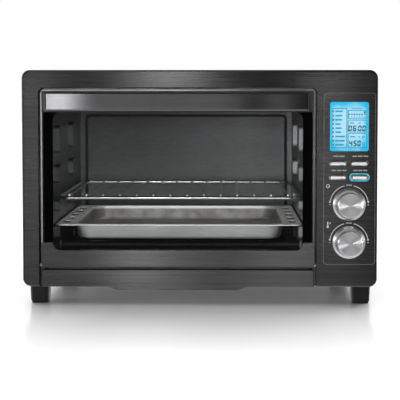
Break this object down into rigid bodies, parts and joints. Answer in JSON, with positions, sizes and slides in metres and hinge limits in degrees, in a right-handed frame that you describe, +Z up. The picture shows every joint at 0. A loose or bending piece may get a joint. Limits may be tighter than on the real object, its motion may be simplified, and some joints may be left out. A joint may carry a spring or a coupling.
{
  "type": "countertop toaster oven",
  "caption": "Countertop toaster oven: drop-down glass door, sliding rack, baking pan and crumb tray, convection fan, and a control column with display, buttons and knobs.",
  "frame": {"origin": "on the table, below the middle of the whole object's box", "axes": "+X to the right as seen from the front, +Y to the back, +Z up; the door faces -Y"},
  "size_m": [0.47, 0.381, 0.3125],
  "materials": {
    "black_steel": "brushed black stainless",
    "black_paint": "satin black paint",
    "dark_aluminium": "brushed, dark",
    "cavity_steel": "aluminised, dull",
    "plain_steel": "satin",
    "chrome": "bright plated wire",
    "pan_steel": "satin",
    "heater_sheath": "heat-dulled",
    "ceramic": "unglazed ceramic",
    "clear_glass": "tempered",
    "silicone": "matte",
    "brass": "turned",
    "black_plastic": "moulded",
    "foot_rubber": "matte",
    "knob_metal": "spun",
    "button_metal": "metallised",
    "light_guide": "translucent, lit",
    "display_window": "clear",
    "display_blue": "backlit",
    "circuit_board": "solder mask",
    "components": "moulded",
    "zinc": "zinc plated"
  },
  "bodies": {
    "chassis": {"front_frame": "black_steel", "outer_wrap": "black_paint", "rear_cover": "black_paint", "base_plate": "black_paint", "casing_screws": "zinc", "feet": "black_plastic", "foot_soles": "foot_rubber", "rear_spacers": "black_plastic", "cord_gland": "black_plastic", "face_frame": "cavity_steel", "cavity_left_wall": "cavity_steel", "cavity_right_wall": "cavity_steel", "cavity_back": "cavity_steel", "cavity_top": "cavity_steel", "cavity_floor": "cavity_steel", "heater_rods": "heater_sheath", "heater_bushes": "ceramic", "temperature_probe": "plain_steel", "thermal_fuse": "components", "heat_shield": "zinc", "fan_motor": "zinc", "mounting_posts": "zinc", "crumb_tray_rails": "zinc", "hinge_brackets": "zinc", "door_springs": "plain_steel", "control_panel": "black_steel", "button_light_ring": "light_guide", "display_lens": "display_window", "display_module": "display_blue", "control_board": "circuit_board", "board_switches": "components", "encoders": "components", "power_board": "circuit_board", "power_components": "components"},
    "door": {"door_frame": "black_steel", "door_glass": "clear_glass", "glass_gasket": "silicone", "door_top_rail": "black_steel", "door_bottom_rail": "black_steel", "door_handle": "dark_aluminium", "handle_posts": "dark_aluminium", "handle_screws": "plain_steel", "hinge_levers": "plain_steel", "hinge_pins": "brass"},
    "rack": {"rack_frame": "chrome", "rack_wires": "chrome"},
    "pan": {"baking_pan": "pan_steel"},
    "crumb_drawer": {"crumb_tray_front": "black_steel", "crumb_tray": "cavity_steel"},
    "fan": {"fan_wheel": "cavity_steel", "fan_shaft": "plain_steel"},
    "time_dial": {"time_knob": "knob_metal", "time_knob_shaft": "plain_steel"},
    "temp_dial": {"temp_knob": "knob_metal", "temp_knob_shaft": "plain_steel"},
    "upper_left_button": {"button_upper_left": "button_metal"},
    "upper_right_button": {"button_upper_right": "button_metal"},
    "lower_left_button": {"button_lower_left": "button_metal"},
    "lower_right_button": {"button_lower_right": "button_metal"}
  },
  "joints": [
    {"name": "door_hinge", "type": "hinge", "parent": "chassis", "child": "door", "pos_m": [0, -0.1475, 0.0535], "axis": [1, 0, 0], "range_deg": [0, 90], "stiffness_Nm_per_rad": 0.45, "springref_deg": -51.57, "deforming": ["door_springs"]},
    {"name": "rack_slide", "type": "slide", "parent": "chassis", "child": "rack", "axis": [0, -1, 0], "range_m": [0, 0.1]},
    {"name": "pan_slide", "type": "slide", "parent": "chassis", "child": "pan", "axis": [0, -1, 0], "range_m": [0, 0.085]},
    {"name": "crumb_tray_slide", "type": "slide", "parent": "chassis", "child": "crumb_drawer", "axis": [0, -1, 0], "range_m": [0, 0.18]},
    {"name": "time_knob_turn", "type": "hinge", "parent": "chassis", "child": "time_dial", "pos_m": [0.1973, -0.1525, 0.1354], "axis": [0, 1, 0], "continuous": true},
    {"name": "temp_knob_turn", "type": "hinge", "parent": "chassis", "child": "temp_dial", "pos_m": [0.1973, -0.1525, 0.0853], "axis": [0, 1, 0], "continuous": true},
    {"name": "fan_spin", "type": "hinge", "parent": "chassis", "child": "fan", "pos_m": [0.15, -0.0215, 0.17], "axis": [1, 0, 0], "continuous": true},
    {"name": "press_upper_left", "type": "slide", "parent": "chassis", "child": "upper_left_button", "axis": [0, 1, 0], "range_m": [0, 0.001], "stiffness_N_per_m": 600, "springref_m": -0.002},
    {"name": "press_upper_right", "type": "slide", "parent": "chassis", "child": "upper_right_button", "axis": [0, 1, 0], "range_m": [0, 0.001], "stiffness_N_per_m": 600, "springref_m": -0.002},
    {"name": "press_lower_left", "type": "slide", "parent": "chassis", "child": "lower_left_button", "axis": [0, 1, 0], "range_m": [0, 0.001], "stiffness_N_per_m": 600, "springref_m": -0.002},
    {"name": "press_lower_right", "type": "slide", "parent": "chassis", "child": "lower_right_button", "axis": [0, 1, 0], "range_m": [0, 0.001], "stiffness_N_per_m": 600, "springref_m": -0.002}
  ],
  "couplings": [
    {"joint": "rack_slide", "follows": "door_hinge", "m_per_rad": 0.06},
    {"joint": "pan_slide", "follows": "door_hinge", "m_per_rad": 0.05}
  ]
}
